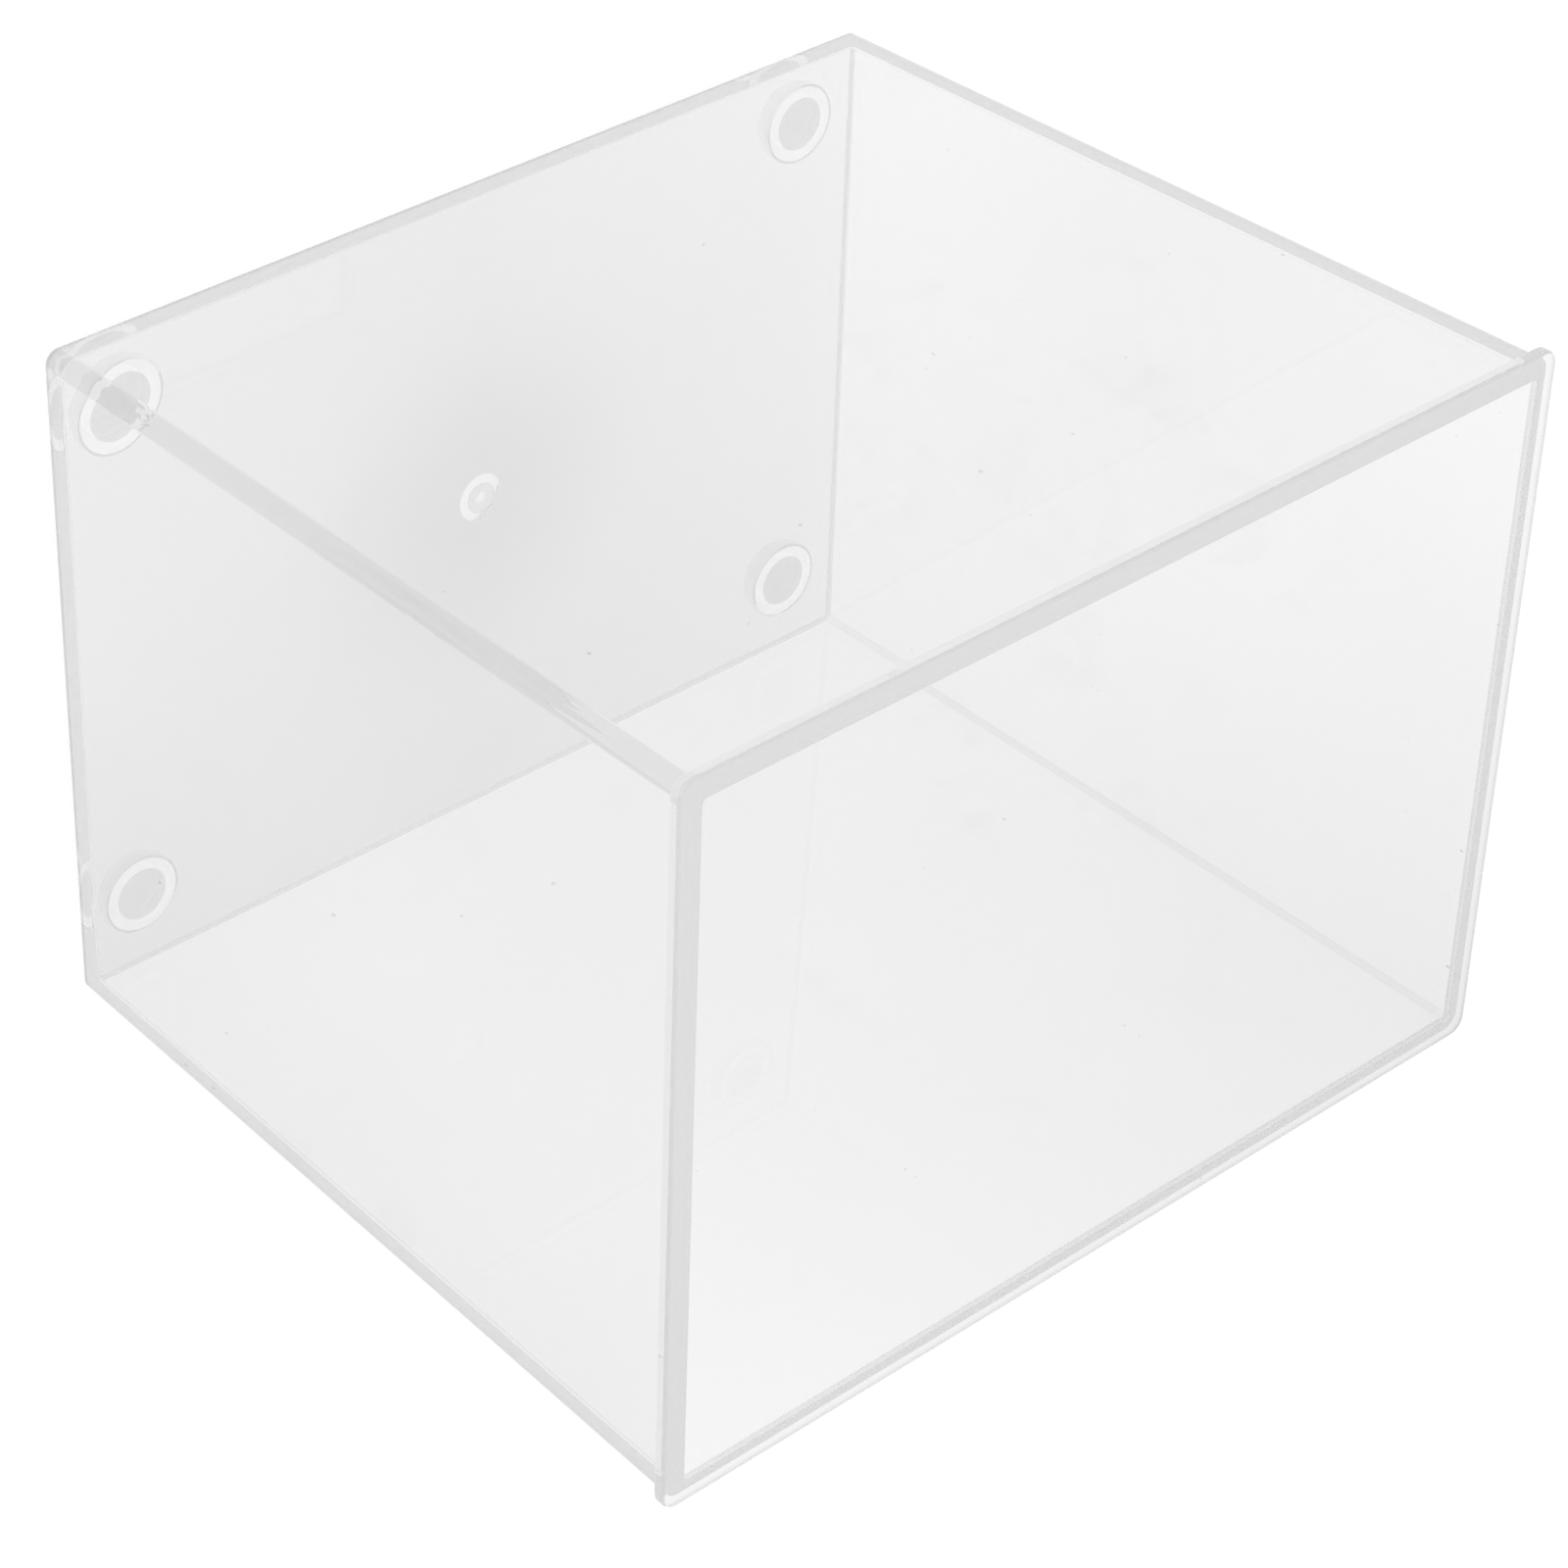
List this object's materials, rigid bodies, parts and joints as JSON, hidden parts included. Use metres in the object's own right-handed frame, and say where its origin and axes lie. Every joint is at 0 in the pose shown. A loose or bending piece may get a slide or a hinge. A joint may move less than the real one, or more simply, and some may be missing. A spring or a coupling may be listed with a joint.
{
  "type": "acrylic display cube",
  "caption": "Clear moulded acrylic display box with a rim bead round its open mouth, standing on stick-on bumper feet.",
  "frame": {"origin": "centre of the base on the surface that the four feet stand on", "axes": "+Z from the feet up to the open mouth, +X along the long side of the mouth, +Y along its short side"},
  "size_m": [0.1538, 0.1144, 0.1337],
  "materials": {
    "clear_acrylic": "polished",
    "clear_polyurethane": "gloss",
    "clear_adhesive": "gloss"
  },
  "bodies": {
    "root": {"display_box": "clear_acrylic", "bumper_foot_front_left": "clear_polyurethane", "bumper_foot_front_right": "clear_polyurethane", "bumper_foot_back_left": "clear_polyurethane", "bumper_foot_back_right": "clear_polyurethane", "adhesive_disc_front_left": "clear_adhesive", "adhesive_disc_front_right": "clear_adhesive", "adhesive_disc_back_left": "clear_adhesive", "adhesive_disc_back_right": "clear_adhesive"}
  },
  "joints": []
}
